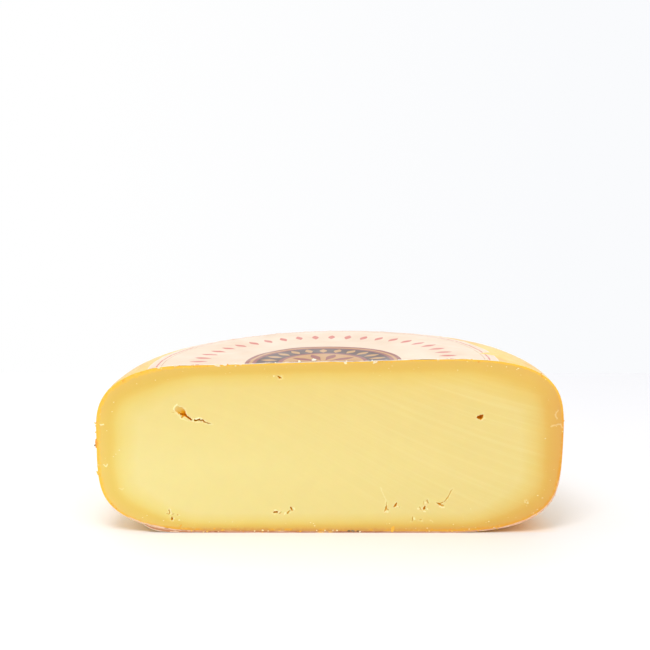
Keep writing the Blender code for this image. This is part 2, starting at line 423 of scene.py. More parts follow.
def edge_distance(points, outline):
    """Distance of each point of a face from its outline, and the number of the nearest stretch."""
    ends = np.roll(outline, -1, axis=0)
    runs = ends - outline
    lengths = (runs**2).sum(axis=1)
    found = np.empty(len(points))
    nearest = np.empty(len(points), int)
    for first in range(0, len(points), 4000):
        some = points[first:first + 4000, None]
        share = np.clip(((some - outline) * runs).sum(axis=2) / lengths, 0, 1)
        off = some - outline - share[..., None] * runs
        distances = (off**2).sum(axis=2)
        nearest[first:first + 4000] = distances.argmin(axis=1)
        found[first:first + 4000] = np.sqrt(distances.min(axis=1))
    return found, nearest


def honeycomb(low, high, step):
    """Points in even, staggered rows over a box."""
    levels = np.arange(low[1], high[1], step * math.sqrt(3) / 2)
    across = np.arange(low[0], high[0], step)
    rows = [np.stack([across + number % 2 * step / 2, across * 0 + level], axis=1)
            for number, level in enumerate(levels)]
    return np.concatenate(rows)


def inside_outline(points, outline):
    """Which points lie within the outline."""
    x, z = points.T
    inside = np.zeros(len(points), bool)
    for (x0, z0), (x1, z1) in zip(outline, np.roll(outline, -1, axis=0)):
        if z0 == z1:
            continue
        crossed = (z0 > z) != (z1 > z)
        inside ^= crossed & (x < x0 + (x1 - x0) * (z - z0) / (z1 - z0))
    return inside


def ringed(outline, depths):
    """Rings of points that follow the outline at these depths inside it."""
    tangent = np.roll(outline, -1, axis=0) - np.roll(outline, 1, axis=0)
    tangent /= np.linalg.norm(tangent, axis=1, keepdims=True)
    inward = np.stack([-tangent[:, 1], tangent[:, 0]], axis=1)
    return np.concatenate([outline + inward * depth for depth in depths])


def filled(outline, loose):
    """Triangles over an outline, through the loose points in it: places, triangles, outline numbers."""
    points = [Vector(point) for point in np.concatenate([outline, loose])]
    made = geometry.delaunay_2d_cdt(points, [], [list(range(len(outline)))], 1, 1e-7)
    places = np.array([tuple(place) for place in made[0]])
    numbers = [min(sources) if sources and min(sources) < len(outline) else None for sources in made[3]]
    return places, made[2], numbers


right_edge = [skin_index(0, row) for row in range(skin_rows)]
left_edge = [skin_index(skin_columns - 1, row) for row in range(skin_rows - 2, 0, -1)]
outline_index = right_edge + left_edge
outline = skin_points[outline_index][:, [0, 2]]

grid = honeycomb((wheel_low.x, 0), (wheel_high.x, wheel_high.z), GRID_STEP)
grid = grid[inside_outline(grid, outline)]
grid = grid[edge_distance(grid, outline)[0] > EDGE_RINGS[-1] + GRID_STEP * 0.6]
fine = []
curl_strokes = [[(x, z, CURL_HALF, 1) for x, z in curl] for curl in CURLS + FAINT_CURLS]
for stations in list(OPENINGS.values()) + curl_strokes:
    widths = [station[2] for station in stations]
    step = np.clip(min(widths) / 1.4, *FINE_STEPS)
    margin = max(widths) + FINE_ROOM
    low = [min(station[axis] for station in stations) - margin for axis in (0, 1)]
    high = [max(station[axis] for station in stations) + margin for axis in (0, 1)]
    patch = honeycomb(low, high, step)
    patch = patch[stroke_reach(*patch.T, stations)[1] < FINE_REACH]
    patch = patch[edge_distance(patch, outline)[0] > FINE_FROM_EDGE]
    fine.append(patch)
    grid = grid[stroke_reach(*grid.T, stations)[1] > FINE_ROOM]
fine = np.concatenate(fine)
_, first_in_cell = np.unique(np.round(fine / FINE_APART).astype(int), axis=0, return_index=True)
fine = fine[np.sort(first_in_cell)]
loose = np.concatenate([ringed(outline, EDGE_RINGS), grid, fine])
face_places, face_triangles, outline_numbers = filled(outline, loose)

face_x, face_z = face_places.T
under_skin, nearest_stretch = edge_distance(face_places, outline)
rough_places = wandered(face_x, face_z, ROUGHENED)
opened = np.zeros(len(face_x))
lip = np.zeros(len(face_x))
curl = np.zeros(len(face_x))
for stations in OPENINGS.values():
    deep, off = stroke_reach(*rough_places, stations)
    opened = np.maximum(opened, deep)
    size = max(station[2] for station in stations)
    lip = np.maximum(lip, np.exp(-((off / LIP_WIDTH - 0.5) * 2) ** 2) * min(size / 0.001, 1) * 0.6)
lip[opened > 0] = 0
for number, stations in enumerate(curl_strokes):
    _, off = stroke_reach(*rough_places, stations)
    strength = 1 if number < len(CURLS) else FAINT
    curl = np.maximum(curl, strength * np.exp(-(np.maximum(off, 0) / CURL_FADE) ** 2))

# how deep each point lies in the film and then in the bright line, in widths of each
stretches = np.linalg.norm(np.roll(outline, -1, axis=0) - outline, axis=1)
run_along = np.concatenate([[0], np.cumsum(stretches)[:-1]])
run_along -= np.where(run_along > stretches.sum() / 2, stretches.sum(), 0)
band_runs, film_widths, line_widths = np.array(EDGE_BANDS).T
film_width = np.interp(run_along[nearest_stretch], band_runs, film_widths)
line_width = np.interp(run_along[nearest_stretch], band_runs, line_widths)
film_depth = under_skin / film_width
line_depth = (under_skin - film_width) / line_width

# the wire's path: level curves that fan out to the right and flatten at both ends
bent_x = face_x + np.where(face_x < 0, LEFT_BEND * face_x**2, 0)
bent_x -= np.where(face_x > RIGHT_BEND_START, RIGHT_BEND * (face_x - RIGHT_BEND_START) ** 2, 0)
wire_path = (face_z + WIRE_SLOPE * bent_x) / (1 + WIRE_FAN * bent_x)
drag = np.zeros(len(face_x))
for lines, depth in WIRE_LINES:
    along_path = [Vector((path * lines, x * 9, lines)) for path, x in zip(wire_path, face_x)]
    drag += depth * np.array([noise.noise(point) for point in along_path])

# its marks are plain at the upper right, and fade to the left, downwards and beside the edge
combed = np.clip(0.50 + 4.0 * (face_x + 0.7 * (face_z - 0.07)), 0.12, 1)
combed *= np.clip((under_skin - 0.007) / 0.02, 0, 1)

face_wave = np.array([noise.noise(Vector((x, z, 4.0)) / WAVE_LENGTH) for x, z in face_places])
settle = np.clip(under_skin / SETTLE_IN, 0, 1)
face_y = FACE_Y + opened + settle * (FACE_WAVE * (face_wave + 0.4) - LIP_HEIGHT * lip) + drag * combed
face_y -= CURL_HEIGHT * curl * np.clip(under_skin / 0.0009, 0, 1)
face_y -= FILM_LIP * np.clip(1.5 - film_depth, 0, 1) * np.clip((film_width - 0.0004) / 0.0006, 0, 1)
face_y[[source is not None for source in outline_numbers]] = FACE_Y

# the paste dries and darkens deeper at the sides than under the flat top and on the flat foot
level = np.clip(face_z / TOP_HEIGHT, 0, 1)
to_side = np.clip((np.abs(face_x) / WHEEL_RADIUS - 0.58 + 0.06 * level) / 0.30, 0, 1)
to_side = to_side * to_side * (3 - 2 * to_side)
middle_scale = 0.46 + 0.10 * level * (1 + np.clip(face_x / 0.05, 0, 1))
dried_depth = under_skin / (middle_scale * (1 - to_side) + (0.84 + 0.24 * level) * to_side)

face_vertex = []
inner = []
line_on_skin = np.zeros(len(skin_points))
for number, source in enumerate(outline_numbers):
    if source is None:
        face_vertex.append(len(skin_points) + len(inner))
        inner.append(number)
    else:
        face_vertex.append(outline_index[source])
        line_on_skin[outline_index[source]] = -film_width[number] / line_width[number]
face_faces = [[face_vertex[corner] for corner in corners] for corners in face_triangles]
inner_points = np.stack([face_x, face_y, face_z], axis=1)[inner]
wheel_points = np.concatenate([skin_points, inner_points])


def turned_out(name, points, faces, second=0):
    """A smooth mesh with its faces turned outwards; the last ones take a second material."""
    mesh = bpy.data.meshes.new(name)
    mesh.from_pydata(points.tolist(), [], faces)
    mesh.polygons.foreach_set("material_index", [0] * (len(faces) - second) + [1] * second)
    turned = bmesh.new()
    turned.from_mesh(mesh)
    bmesh.ops.recalc_face_normals(turned, faces=turned.faces)
    for edge in turned.edges:
        edge.smooth = len({face.material_index for face in edge.link_faces}) < 2
    turned.to_mesh(mesh)
    turned.free()
    mesh.polygons.foreach_set("use_smooth", [True] * len(mesh.polygons))
    return mesh


def store(mesh, name, values):
    """Keeps a value for each point on the mesh, for its material to read."""
    layer = mesh.attributes.new(name, "FLOAT", "POINT")
    layer.data.foreach_set("value", np.asarray(values, np.float32))


def placed(name, mesh):
    """The mesh as a piece of the cheese."""
    piece = bpy.data.objects.new(name, mesh)
    bpy.context.scene.collection.objects.link(piece)
    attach(piece, "root")
    return piece


wheel_mesh = turned_out("half_wheel_cheese", wheel_points, skin_faces + face_faces, len(face_faces))
no_skin = np.zeros(len(skin_points))
for name, on_skin, on_face in (
    ("dried_depth", no_skin, dried_depth * 1000),
    ("film_depth", no_skin, film_depth),
    ("line_depth", line_on_skin, line_depth),
    ("combed", no_skin, combed),
    ("opened", no_skin, np.clip(opened / DEEP, 0, 1)),
    ("lip", no_skin, np.maximum(lip, curl)),
    ("wire_path", skin_points[:, 2], wire_path),
    ("dented", skin_dents, np.zeros(len(face_x))),
):
    store(wheel_mesh, name, np.concatenate([on_skin, on_face[inner]]))
half_wheel = placed("half_wheel_cheese", wheel_mesh)
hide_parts("half_wheel")


# Finish of the coating and the paste. The film is semi-gloss and peach-yellow, dulled by whitish
# scuffs and specks. The paste is pale in the middle and ochre where it dried under the film.


def tint(red, green, blue):
    """A colour as a screen shows it, from 0 to 255, turned into the linear values that a shader takes."""
    shares = [part / 255 for part in (red, green, blue)]
    linear = [s / 12.92 if s <= 0.04045 else ((s + 0.055) / 1.055) ** 2.4 for s in shares]
    return (*linear, 1)


class Spread:
    """A value or colour that changes over a surface. Reckoning with it adds nodes to its material."""

    def __init__(self, socket):
        self.socket = socket
        self.tree = socket.id_data

    def __add__(self, other):
        return maths("ADD", self, other)

    def __sub__(self, other):
        return maths("SUBTRACT", self, other)

    def __rsub__(self, other):
        return maths("SUBTRACT", other, self)

    def __mul__(self, other):
        return maths("MULTIPLY", self, other)

    def __truediv__(self, other):
        return maths("DIVIDE", self, other)

    def __rtruediv__(self, other):
        return maths("DIVIDE", other, self)


def put(tree, kind, settings=(), inputs=()):
    """A node with its settings; each input is a plain value or a spread one."""
    made = tree.nodes.new(kind)
    for name, value in dict(settings).items():
        setattr(made, name, value)
    for name, value in dict(inputs).items():
        if isinstance(value, Spread):
            tree.links.new(value.socket, made.inputs[name])
        else:
            made.inputs[name].default_value = value
    return made


def result(tree, kind, settings=(), inputs=(), output=0):
    """What a new node puts out."""
    return Spread(put(tree, kind, settings, inputs).outputs[output])


def wire(node, **values):
    """Leads spread values into the inputs of a shader, or out of a group."""
    for title, value in values.items():
        value.tree.links.new(value.socket, node.inputs[title.replace("_", " ")])


def maths(operation, first, second=0.0, clamp=False):
    tree = first.tree if isinstance(first, Spread) else second.tree
    return result(tree, "ShaderNodeMath", {"operation": operation, "use_clamp": clamp}, {0: first, 1: second})


def ramped(value, start, end):
    """A share that goes from 0 at the start to 1 at the end, and is level beyond them."""
    return maths("DIVIDE", value - start, end - start, clamp=True)


def blended(share, under, over, way="MIX"):
    """One colour over another, by a share from 0 to 1."""
    settings = {"data_type": "RGBA", "blend_type": way}
    return result(share.tree, "ShaderNodeMix", settings, {0: share, 6: under, 7: over}, 2)


def graded(value, stops):
    """A ramp of (position, colour) stops. A plain number as colour gives a grey."""
    made = put(value.tree, "ShaderNodeValToRGB", (), {0: value})
    ramp = made.color_ramp
    while len(ramp.elements) < len(stops):
        ramp.elements.new(1)
    for element, (position, colour) in zip(ramp.elements, stops):
        element.position = position
        element.color = colour if isinstance(colour, tuple) else (colour, colour, colour, 1)
    return Spread(made.outputs[0])


def measured(tree, name):
    """A value stored on the mesh."""
    return result(tree, "ShaderNodeAttribute", {"attribute_name": name}, (), "Fac")


def clouded(place, size, detail=2.0, roughness=0.5):
    """Soft noise from 0 to 1, in lumps of about that size in metres."""
    inputs = {"Vector": place, "Scale": 1 / size, "Detail": detail, "Roughness": roughness}
    return result(place.tree, "ShaderNodeTexNoise", (), inputs, "Fac")


def streaked(short, long, detail, roughness=0.5):
    """Noise drawn out into streaks, over a quick and a slow run."""
    drawn_out = result(short.tree, "ShaderNodeCombineXYZ", (), {"X": short, "Y": long})
    return clouded(drawn_out, 1.0, detail, roughness)


def axes(place):
    """How far a place lies to the right, back and up."""
    return [Spread(output) for output in put(place.tree, "ShaderNodeSeparateXYZ", (), {0: place}).outputs]


def shader_group(name, inputs, output):
    """A new group with its named sockets: its tree, what comes in, and the node that it leaves by."""
    group = bpy.data.node_groups.new(name, "ShaderNodeTree")
    for title, kind, value in inputs:
        socket = group.interface.new_socket(name=title, in_out="INPUT", socket_type=kind)
        if value is not None:
            socket.default_value = value
    group.interface.new_socket(name=output[0], in_out="OUTPUT", socket_type=output[1])
    came = group.nodes.new("NodeGroupInput")
    return group, [Spread(came.outputs[title]) for title, _, _ in inputs], group.nodes.new("NodeGroupOutput")


# mottling: a colour made a little lighter and darker in soft patches
mottling, (place, colour, size, amount), leave = shader_group(
    "mottling",
    (
        ("Place", "NodeSocketVector", None),
        ("Colour", "NodeSocketColor", (1, 1, 1, 1)),
        ("Size", "NodeSocketFloat", 0.01),
        ("Amount", "NodeSocketFloat", 0.1),
    ),
    ("Colour", "NodeSocketColor"),
)
strength = (clouded(place, size, 3.0) - 0.5) * amount + 1.0
wire(leave, Colour=result(mottling, "ShaderNodeHueSaturation", (), {"Color": colour, "Value": strength}))


def mottled(place, colour, size, amount):
    inputs = {"Place": place, "Colour": colour, "Size": size, "Amount": amount}
    return result(place.tree, "ShaderNodeGroup", {"node_tree": mottling}, inputs)


def new_material(name, mesh, **plain):
    """A mesh's next material, with its shader; the plain values are the same all over the surface."""
    material = bpy.data.materials.new(name)
    material.use_nodes = True
    mesh.materials.append(material)
    tree = material.node_tree
    shader = tree.nodes["Principled BSDF"]
    for title, value in plain.items():
        shader.inputs[title.replace("_", " ")].default_value = value
    return tree, shader, result(tree, "ShaderNodeTexCoord", output="Object")


def add_bump(shader, height, distance, strength):
    inputs = {"Height": height, "Distance": distance, "Strength": strength}
    wire(shader, Normal=result(height.tree, "ShaderNodeBump", (), inputs))


SPECK_SPACING = 0.006
SPECK_REACH = 0.09
SPECK_SHARE = 0.35
PALE_DEPTH = 34.0  # millimetres under the film, at which the paste is as pale as it gets
BROWN_DEPTH = 36.0
DRYING_WANDER = 4.0
WIRE_MARKS = 400.0  # fine lines per metre

tree, shader, place = new_material(
    "coating",
    wheel_mesh,
    Specular_IOR_Level=0.2,
    Coat_Weight=0.15,
    Coat_Roughness=0.28,
)
broad = clouded(place, 0.07, 3.0)
film = graded(broad, ((0.30, tint(232, 168, 62)), (0.50, tint(241, 192, 76)), (0.72, tint(246, 204, 92))))
film = blended(measured(tree, "dented") * 0.7, film, tint(238, 164, 58))
worn = clouded(place, 0.016, 6.0, 0.62)
scuffed = graded(worn, ((0.56, 0.0), (0.62, 0.55), (0.72, 0.7)))
film = blended(scuffed, film, tint(246, 208, 150))

# whitish specks: some of the cells that the noise draws hold one, each of its own size
cells = put(tree, "ShaderNodeTexVoronoi", (), {"Vector": place, "Scale": 1 / SPECK_SPACING})
draws = put(tree, "ShaderNodeSeparateColor", (), {0: Spread(cells.outputs["Color"])})
has_speck = maths("LESS_THAN", Spread(draws.outputs[0]), SPECK_SHARE)
speck_reach = Spread(draws.outputs[1]) * SPECK_REACH
in_speck = maths("LESS_THAN", Spread(cells.outputs["Distance"]), speck_reach)
film = blended(has_speck * in_speck * 0.7, film, tint(255, 238, 205))
wire(shader, Base_Color=mottled(place, film, 0.008, 0.14))
wire(shader, Roughness=graded(worn, ((0.35, 0.30), (0.60, 0.42), (0.70, 0.55))))
add_bump(shader, clouded(place, 0.0035, 3.0) + scuffed * 0.8, 0.00012, 0.7)

tree, shader, place = new_material(
    "paste",
    wheel_mesh,
    Roughness=0.5,
    Subsurface_Weight=0.3,
    Subsurface_Radius=(0.0016, 0.0009, 0.0003),
    Subsurface_Scale=1.0,
)
rightwards, _, up = axes(place)
to_right = ramped(rightwards, -1 / 6, 1 / 6)
under_top = ramped(up, 0.096, 0.118)
at_foot = ramped(up, 0.024, -0.006)

# the paste itself, riper and darker towards the film, with the wandering border of drying
wander = (clouded(place, 0.02, 3.0) - 0.5) * DRYING_WANDER
dried = measured(tree, "dried_depth")
dried = dried + wander * ramped(dried, 0, 12.5)
ripeness = graded(
    dried / PALE_DEPTH,
    (
        (0.060, tint(235, 201, 106)),
        (0.190, tint(232, 200, 98)),
        (0.290, tint(231, 200, 95)),
        (0.370, tint(233, 205, 103)),
        (0.460, tint(235, 213, 119)),
        (0.600, tint(236, 218, 132)),
        (0.950, tint(237, 222, 148)),
    ),
)
face_colour = blended(under_top * to_right * 0.4, ripeness, tint(240, 214, 110))
# darker towards the right: mostly painted shade, the light falling off away from the lamp at the left
face_colour = blended(to_right, face_colour, (0.952, 0.88, 0.77, 1), "MULTIPLY")
# darker towards the top, most at the left
darker_up_top = ramped(up, 0.05, 0.13) * (1 - to_right * 0.7)
face_colour = blended(darker_up_top, face_colour, (0.935, 0.84, 0.65, 1), "MULTIPLY")
# the rim browner at the right: partly the paste's own drying under the film, partly painted shade
rim_share = ramped(dried, BROWN_DEPTH, 0)
browned_and_shaded = to_right * (rim_share * rim_share) * (1 - under_top * 0.6)
face_colour = blended(browned_and_shaded, face_colour, tint(222, 167, 75))
# darker within a few millimetres of the table
face_colour = blended(ramped(up, 0.0055, 0) * 0.7, face_colour, tint(214, 162, 90))

# the bright line of dried paste beside the film, amber at the right and dull along the foot
frayed = clouded(place, 0.0024, 3.0) - 0.5
line_in = measured(tree, "line_depth") + frayed * 1.8
edge_line = graded(line_in / 2.0, ((0.18, 0.95), (0.45, 0.65), (0.85, 0.0)))
ambered = maths("MAXIMUM", to_right * ramped(up, 0.115, 0.080), at_foot)
line_colour = blended(ambered, tint(248, 196, 52), tint(228, 159, 40))
line_colour = blended(graded(frayed, ((0.05, 0.0), (0.20, 0.4))), line_colour, tint(252, 214, 110))
dulled = graded(clouded(place, 0.006, 3.0), ((0.52, 0.95), (0.64, 0.1)))
dulled = dulled * (at_foot * ramped(rightwards, 0.085, 0.035)) * ramped(rightwards, -0.112, -0.092)
line_colour = blended(dulled, line_colour, tint(206, 152, 82))
face_colour = blended(edge_line, face_colour, line_colour)

# the film's own cut edge, in pink and brown layers low down; the brown along the middle of the foot is partly
# painted shade
film_in = measured(tree, "film_depth") + frayed * 0.5
film_cut = graded(film_in / 2.0, ((0.42, 1.0), (0.58, 0.0)))
pink = graded(
    rightwards / (2 * WHEEL_RADIUS) + 0.5,
    (
        (0.14, tint(239, 198, 166)),
        (0.24, tint(204, 138, 98)),
        (0.60, tint(178, 110, 62)),
        (0.85, tint(224, 172, 138)),
    ),
)
layered = streaked(film_in * 2.2, rightwards * 70.0, 2.0)
pink = blended(graded(layered, ((0.50, 0.0), (0.62, 0.4))), pink, tint(252, 226, 200))
low_down = graded(ramped(up, 0.040, 0), ((0.0, 0.0), (0.35, 1.0)))
face_colour = blended(film_cut, face_colour, blended(low_down, line_colour, pink))

# pale lips and curls, partly paler paste and partly painted highlight, and openings that darken to deep
# orange inside, which is painted shade
face_colour = blended(measured(tree, "lip") * 0.8, face_colour, tint(254, 244, 190))
depth_in = measured(tree, "opened")
# painted shade in the openings: deeper orange the deeper they go
hollow_shade_colour = graded(
    depth_in,
    (
        (0.00, tint(228, 196, 108)),
        (0.15, tint(226, 180, 84)),
        (0.30, tint(226, 158, 22)),
        (0.45, tint(226, 150, 4)),
        (0.90, tint(212, 130, 0)),
    ),
)
hollow_shade_share = graded(depth_in, ((0.0, 0.0), (0.08, 0.7), (0.3, 1.0)))
face_colour = blended(hollow_shade_share, face_colour, hollow_shade_colour)
face_colour = mottled(place, face_colour, 0.012, 0.04)

# the fine pale lines that the wire drew
dragged = streaked(measured(tree, "wire_path") * WIRE_MARKS, rightwards * 6.0, 4.0, 0.68)
dragged = graded(dragged, ((0.45, 0.0), (0.68, 1.0))) * measured(tree, "combed")
face_colour = blended(dragged * 0.17, face_colour, tint(246, 236, 170))
wire(shader, Base_Color=face_colour, Specular_IOR_Level=graded(depth_in, ((0.02, 0.5), (0.25, 0.05))))
grain = clouded(place, 0.0009) + clouded(place, 0.006) + dragged * 0.25
add_bump(shader, grain + film_cut * clouded(place, 0.0012), 0.00006, 0.7)


# Flecks along the cut. The wire breaks flakes off the dry film and leaves them hanging on the edge of
# the face, with bits of dirt from the shelf among them.

FLECKS = (  # x, z, length, breadth, lean in degrees and shade, from 0 pale over 0.6 orange to 1 dusty
    (0.0466, 0.0026, 0.0052, 0.0034, 62, 0.42),
    (-0.0795, 0.0020, 0.0034, 0.0010, 5, 0.42),
    (-0.0375, 0.0017, 0.0026, 0.0011, 20, 0.42),
    (-0.0070, 0.0005, 0.0064, 0.0010, 0, 0.42),
    (0.0005, 0.0005, 0.0042, 0.0009, 0, 0.45),
    (0.0722, 0.0036, 0.0012, 0.0009, 10, 0.10),
    (0.0759, 0.0027, 0.0016, 0.0010, 30, 0.50),
    (0.0896, 0.0027, 0.0032, 0.0013, 20, 0.55),
    (0.1034, 0.0029, 0.0013, 0.0008, 60, 0.10),
    (0.1218, 0.0042, 0.0009, 0.0008, 0, 0.00),
    (-0.0221, 0.0010, 0.0024, 0.0012, 10, 0.50),
    (-0.1110, 0.0053, 0.0026, 0.0015, 60, 0.50),
    (-0.1070, 0.0031, 0.0022, 0.0010, -10, 0.45),
    (-0.0858, 0.0031, 0.0024, 0.0013, 35, 0.45),
    (-0.0830, 0.0007, 0.0010, 0.0007, 0, 0.10),
    (-0.1725, 0.0834, 0.0036, 0.0013, -48, 0.28),
    (-0.1710, 0.0451, 0.0056, 0.0028, -60, 0.42),
    (-0.1722, 0.0686, 0.0074, 0.0022, 86, 0.58),
    (-0.1733, 0.0668, 0.0018, 0.0015, 60, 0.92),
    (0.0140, 0.0014, 0.0028, 0.0012, 5, 1.00),
    (0.0172, 0.0013, 0.0036, 0.0013, -3, 0.95),
    (0.0205, 0.0013, 0.0024, 0.0010, 5, 1.00),
    (0.0222, 0.0008, 0.0018, 0.0009, 20, 0.00),
)
FLECK_COUNT = 120
FLECK_LENGTH = (0.0004, 0.0017)
FLECK_THICKNESS = 0.00022
FLECK_CORNERS = 9
FLECK_RUN = (0.0, 0.40)
FLECK_OUT = (-0.0016, 0.0003)
FLECK_SHADES = (0.15, 0.35, 0.45, 0.5, 0.6)
FLECK_SUNK = 0.0001
FLECK_CLEAR = 0.00003  # room above the table


def joined(name, parts):
    """One mesh of many small pieces, each with its points, its faces and its shade."""
    points = []
    faces = []
    shades = []
    for some_points, some_faces, shade in parts:
        faces += [[corner + len(points) for corner in face] for face in some_faces]
        points += [tuple(point) for point in some_points]
        shades += [shade] * len(some_points)
    mesh = bpy.data.meshes.new(name)
    mesh.from_pydata(points, [], faces)
    store(mesh, "shade", shades)
    return mesh


def flake(middle, length, breadth, lean, draw):
    """A thin scrap with a ragged outline that stands on the cut face."""
    corners = FLECK_CORNERS
    rounds = []
    for number in range(corners):
        turn = 2 * math.pi * number / corners
        reach = draw.uniform(0.6, 1.1) / 2
        across, up = length * reach * math.cos(turn), breadth * reach * math.sin(turn)
        x = middle[0] + across * math.cos(lean) - up * math.sin(lean)
        z = middle[1] + across * math.sin(lean) + up * math.cos(lean)
        rounds.append((x, max(z, FLECK_CLEAR)))
    back = [(x, FACE_Y + FLECK_SUNK, z) for x, z in rounds]
    front = [(x, FACE_Y - FLECK_THICKNESS * draw.uniform(0.5, 1), z) for x, z in rounds]
    sides = [[number, (number + 1) % corners, (number + 1) % corners + corners, number + corners]
             for number in range(corners)]
    return back + front, sides + [list(range(corners))[::-1], list(range(corners, 2 * corners))]


def on_edge(run):
    """The place on the cut's outline at a run from the middle of the foot, and the way out of it."""
    sorted_runs = np.argsort(run_along)
    runs = run_along[sorted_runs]
    place = np.array([np.interp(run, runs, outline[sorted_runs, axis]) for axis in (0, 1)])
    ahead = np.array([np.interp(run + 0.002, runs, outline[sorted_runs, axis]) for axis in (0, 1)])
    way = (ahead - place) / max(np.linalg.norm(ahead - place), 1e-9)
    return place, np.array([way[1], -way[0]]), math.atan2(way[1], way[0])


fleck_draws = random.Random(23)
fleck_parts = []
for x, z, length, breadth, lean, shade in FLECKS:
    fleck_parts.append((*flake((x, z), length, breadth, math.radians(lean), fleck_draws), shade))
for _ in range(FLECK_COUNT):
    run = fleck_draws.choice((-1, 1)) * fleck_draws.uniform(*FLECK_RUN)
    edge_place, out_way, along = on_edge(run)
    length = fleck_draws.uniform(*FLECK_LENGTH)
    out = fleck_draws.uniform(*FLECK_OUT)
    lean = along + fleck_draws.gauss(0, 0.5)
    shade = fleck_draws.choice(FLECK_SHADES)
    breadth = length * fleck_draws.uniform(0.4, 0.8)
    fleck_parts.append((*flake(edge_place + out_way * out, length, breadth, lean, fleck_draws), shade))
fleck_mesh = joined("film_flecks", fleck_parts)
placed("film_flecks", fleck_mesh)

tree, shader, place = new_material(
    "film_bits",
    fleck_mesh,
    Roughness=0.42,
    Coat_Weight=0.3,
    Coat_Roughness=0.25,
)
bit_colour = graded(
    measured(tree, "shade"),
    (
        (0.00, tint(252, 240, 206)),
        (0.15, tint(248, 222, 140)),
        (0.40, tint(246, 192, 60)),
        (0.65, tint(232, 148, 46)),
        (0.85, tint(176, 152, 138)),
        (1.00, tint(98, 84, 58)),
    ),
)
wire(shader, Base_Color=mottled(place, bit_colour, 0.0008, 0.2))
add_bump(shader, clouded(place, 0.0004), 0.00004, 0.6)


# Shreds of loose film. Where the wire came out, it pulled thin ribbons off the coating. Most of them
# hang at the left of the foot, and the rest cling along the edge.

SHREDS = (  # start and end of the run, gap to the edge, width, pallor, and how far the middle hangs out
    (-0.1395, -0.106, 0.0003, 0.0007, 0.92, 0.0021),
    (-0.1385, -0.098, 0.0001, 0.0020, 0.34, 0.0018),
    (-0.1375, -0.086, -0.0006, 0.0012, 0.55, 0.0012),
    (-0.1240, -0.070, -0.0002, 0.0014, 0.12, 0.0004),
    (-0.1520, -0.118, -0.0006, 0.0010, 0.80, 0),
    (-0.1370, -0.108, -0.0004, 0.0006, 0.85, 0.0004),
    (-0.0940, -0.040, -0.0009, 0.0004, 0.45, 0),
    (-0.0300, 0.060, -0.0005, 0.0005, 0.25, 0),
    (0.0500, 0.128, -0.0004, 0.0006, 0.35, 0),
    (0.1120, 0.196, -0.0002, 0.0008, 0.75, 0),
    (0.1280, 0.176, -0.0008, 0.0006, 0.80, 0),
)
SHRED_STEP = 0.0011
SHRED_THICKNESS = 0.00009
SHRED_CLEAR = 0.00004  # room in front of the face and above the table
SHRED_WAVE = 0.0005
SHRED_WAVE_LENGTH = 0.006
SHRED_RAG_LENGTH = 0.002
SHRED_LIFT = 0.00016
SHRED_LIFT_LENGTH = 0.008


def strip_faces(stations):
    """The sides and the two ends of a thin strip that has four points at each station."""
    last = 4 * (stations - 1)
    faces = [[3, 2, 1, 0], [last, last + 1, last + 2, last + 3]]
    for first in range(0, last, 4):
        for side in range(4):
            after = (side + 1) % 4
            faces.append([first + side, first + after, first + after + 4, first + side + 4])
    return faces


def shred(start, end, gap, width, sag, number):
    """A ribbon of film that follows the edge of the cut and frays out at both ends."""
    points = []
    stations = int((end - start) / SHRED_STEP)
    for step in range(stations + 1):
        share = step / stations
        run = start + (end - start) * share
        edge_place, out_way, _ = on_edge(run)
        full = width * (math.sin(math.pi * share) ** 0.35 if 0 < share < 1 else 0.05)
        wave = noise.noise(Vector((run / SHRED_WAVE_LENGTH, number * 3.7, 0))) * SHRED_WAVE
        wave += sag * math.sin(math.pi * share**0.7) ** 1.5 if 0 < share < 1 else 0
        full *= 0.75 + 0.5 * noise.noise(Vector((run / SHRED_RAG_LENGTH, number * 5.1, 2)))
        lift = SHRED_LIFT * abs(noise.noise(Vector((run / SHRED_LIFT_LENGTH, number, 6))))
        depth = FACE_Y - SHRED_CLEAR - lift
        for off, back in ((gap + wave, 0), (gap + wave - full, 0), (gap + wave - full, 1), (gap + wave, 1)):
            x, z = edge_place + out_way * off
            points.append((x, depth + back * SHRED_THICKNESS, max(z, SHRED_CLEAR + 0.00001 * back)))
    return points, strip_faces(stations + 1)


shred_parts = [(*shred(start, end, gap, width, sag, number), pallor)
               for number, (start, end, gap, width, pallor, sag) in enumerate(SHREDS)]
shred_mesh = joined("film_shreds", shred_parts)
placed("film_shreds", shred_mesh)

tree, shader, place = new_material(
    "loose_film",
    shred_mesh,
    Roughness=0.38,
    Coat_Weight=0.4,
    Coat_Roughness=0.2,
)
film_tone = graded(
    measured(tree, "shade"),
    (
        (0.0, tint(174, 104, 60)),
        (0.4, tint(200, 134, 92)),
        (0.7, tint(236, 190, 154)),
        (1.0, tint(252, 228, 202)),
    ),
)
wire(shader, Base_Color=mottled(place, film_tone, 0.003, 0.16))
add_bump(shader, clouded(place, 0.0012), 0.00005, 0.6)


# The label. A round of printed, varnished paper is laid on the wet coating and sticks to the top and
# the start of the shoulder, where it puckers. It was cut with the wheel, which left its front ragged.

